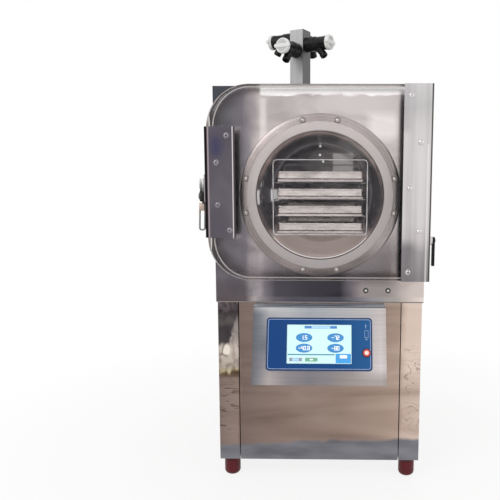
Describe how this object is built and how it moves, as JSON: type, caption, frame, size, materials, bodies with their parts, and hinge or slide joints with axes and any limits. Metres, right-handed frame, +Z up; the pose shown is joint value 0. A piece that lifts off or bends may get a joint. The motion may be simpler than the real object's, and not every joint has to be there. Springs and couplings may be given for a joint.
{
  "type": "shelf freeze dryer",
  "caption": "Cabinet freeze dryer with a round chamber, clear swing door, heated tray shelves, sloped touch console and a flask manifold on a square mast.",
  "frame": {"origin": "on the floor under the middle of the machine", "axes": "+Z up, -Y the front with the door and console, +X the user's right"},
  "size_m": [0.5768, 0.729, 1.105],
  "materials": {
    "polished_steel": "mirror polished stainless sheet",
    "satin_steel": "satin stainless",
    "bright_steel": "bright drawn stainless",
    "clear_acrylic": "clear cast sheet, polished edges",
    "silicone": "smooth translucent grey",
    "red_rubber": "moulded",
    "black_plastic": "moulded",
    "white_plastic": "moulded",
    "blue_panel": "satin film on a moulded frame",
    "screen_glass": "satin touch glass",
    "red_button": "moulded",
    "foam": "closed-cell foam",
    "copper": "drawn tube",
    "black_paint": "satin",
    "fin_aluminium": "plain fin stock",
    "grey_enamel": "satin powder coat"
  },
  "bodies": {
    "root": {"foot_front_left": "red_rubber", "foot_front_right": "red_rubber", "foot_rear_left": "red_rubber", "foot_rear_right": "red_rubber", "base_pan": "satin_steel", "mid_deck": "satin_steel", "chamber_drum": "satin_steel", "shelf_1": "satin_steel", "shelf_2": "satin_steel", "shelf_3": "satin_steel", "shelf_4": "satin_steel", "hinge_bracket": "satin_steel", "latch_keeper": "satin_steel", "console_housing": "satin_steel", "manifold_mast": "satin_steel", "vacuum_port": "satin_steel", "side_panel_left": "polished_steel", "side_panel_right": "polished_steel", "lower_front_panel": "polished_steel", "lower_rear_panel": "polished_steel", "housing_shell": "polished_steel", "housing_front_plate": "polished_steel", "housing_rear_panel": "polished_steel", "chamber_flange": "polished_steel", "tray_1": "polished_steel", "tray_2": "polished_steel", "tray_3": "polished_steel", "tray_4": "polished_steel", "shelf_rack": "bright_steel", "hinge_pin": "bright_steel", "vent_valve_body": "bright_steel", "fan_guard": "bright_steel", "door_gasket": "silicone", "manifold_valve_1": "black_plastic", "manifold_valve_2": "black_plastic", "manifold_valve_3": "black_plastic", "manifold_valve_4": "black_plastic", "power_inlet": "black_plastic", "console_bezel": "blue_panel", "touch_display": "screen_glass", "drum_insulation": "foam", "cooling_coil": "copper", "compressor": "black_paint", "fan_shroud": "black_paint", "condenser": "fin_aluminium", "control_box": "grey_enamel"},
    "door": {"door_pane": "clear_acrylic", "hinge_plate": "satin_steel", "latch_plate": "satin_steel", "latch_base": "satin_steel"},
    "latch_hook": {"latch_hook": "bright_steel", "latch_friction_disc": "black_paint"},
    "power_button": {"power_button": "red_button"},
    "vent_valve_lever": {"vent_valve_lever": "black_plastic"},
    "fan_rotor": {"fan_rotor": "black_plastic"},
    "main_switch": {"main_switch": "red_button"},
    "valve_knob_1": {"valve_knob_1": "white_plastic"},
    "valve_knob_2": {"valve_knob_2": "white_plastic"},
    "valve_knob_3": {"valve_knob_3": "white_plastic"},
    "valve_knob_4": {"valve_knob_4": "white_plastic"}
  },
  "joints": [
    {"name": "door_hinge", "type": "hinge", "parent": "root", "child": "door", "pos_m": [0.2578, -0.2465, 0.7385], "axis": [0, 0, 1], "range_deg": [0, 110]},
    {"name": "latch_pivot", "type": "hinge", "parent": "door", "child": "latch_hook", "pos_m": [-0.2679, -0.3038, 0.71], "axis": [-1, 0, 0], "range_deg": [-7, 40]},
    {"name": "valve_turn_1", "type": "hinge", "parent": "root", "child": "valve_knob_1", "pos_m": [-0.05, -0.2025, 1.056], "axis": [-0.4695, -0.8829, 0], "range_deg": [0, 180]},
    {"name": "valve_turn_2", "type": "hinge", "parent": "root", "child": "valve_knob_2", "pos_m": [-0.05, -0.2025, 1.071], "axis": [0.8829, -0.4695, 0], "range_deg": [0, 180]},
    {"name": "valve_turn_3", "type": "hinge", "parent": "root", "child": "valve_knob_3", "pos_m": [-0.05, -0.2025, 1.087], "axis": [0.4695, 0.8829, 0], "range_deg": [0, 180]},
    {"name": "valve_turn_4", "type": "hinge", "parent": "root", "child": "valve_knob_4", "pos_m": [-0.05, -0.2025, 1.086], "axis": [-0.8829, 0.4695, 0], "range_deg": [0, 180]},
    {"name": "button_press", "type": "slide", "parent": "root", "child": "power_button", "axis": [0, 0.9459, -0.3243], "range_m": [0, 0.003], "stiffness_N_per_m": 400},
    {"name": "vent_turn", "type": "hinge", "parent": "root", "child": "vent_valve_lever", "pos_m": [0.2846, -0.1805, 0.598], "axis": [1, 0, 0], "range_deg": [0, 90]},
    {"name": "fan_spin", "type": "hinge", "parent": "root", "child": "fan_rotor", "pos_m": [-0.06, 0.3227, 0.208], "axis": [0, 1, 0], "continuous": true},
    {"name": "switch_rock", "type": "hinge", "parent": "root", "child": "main_switch", "pos_m": [0.15, 0.3317, 0.155], "axis": [1, 0, 0], "range_deg": [-20, 0]}
  ]
}
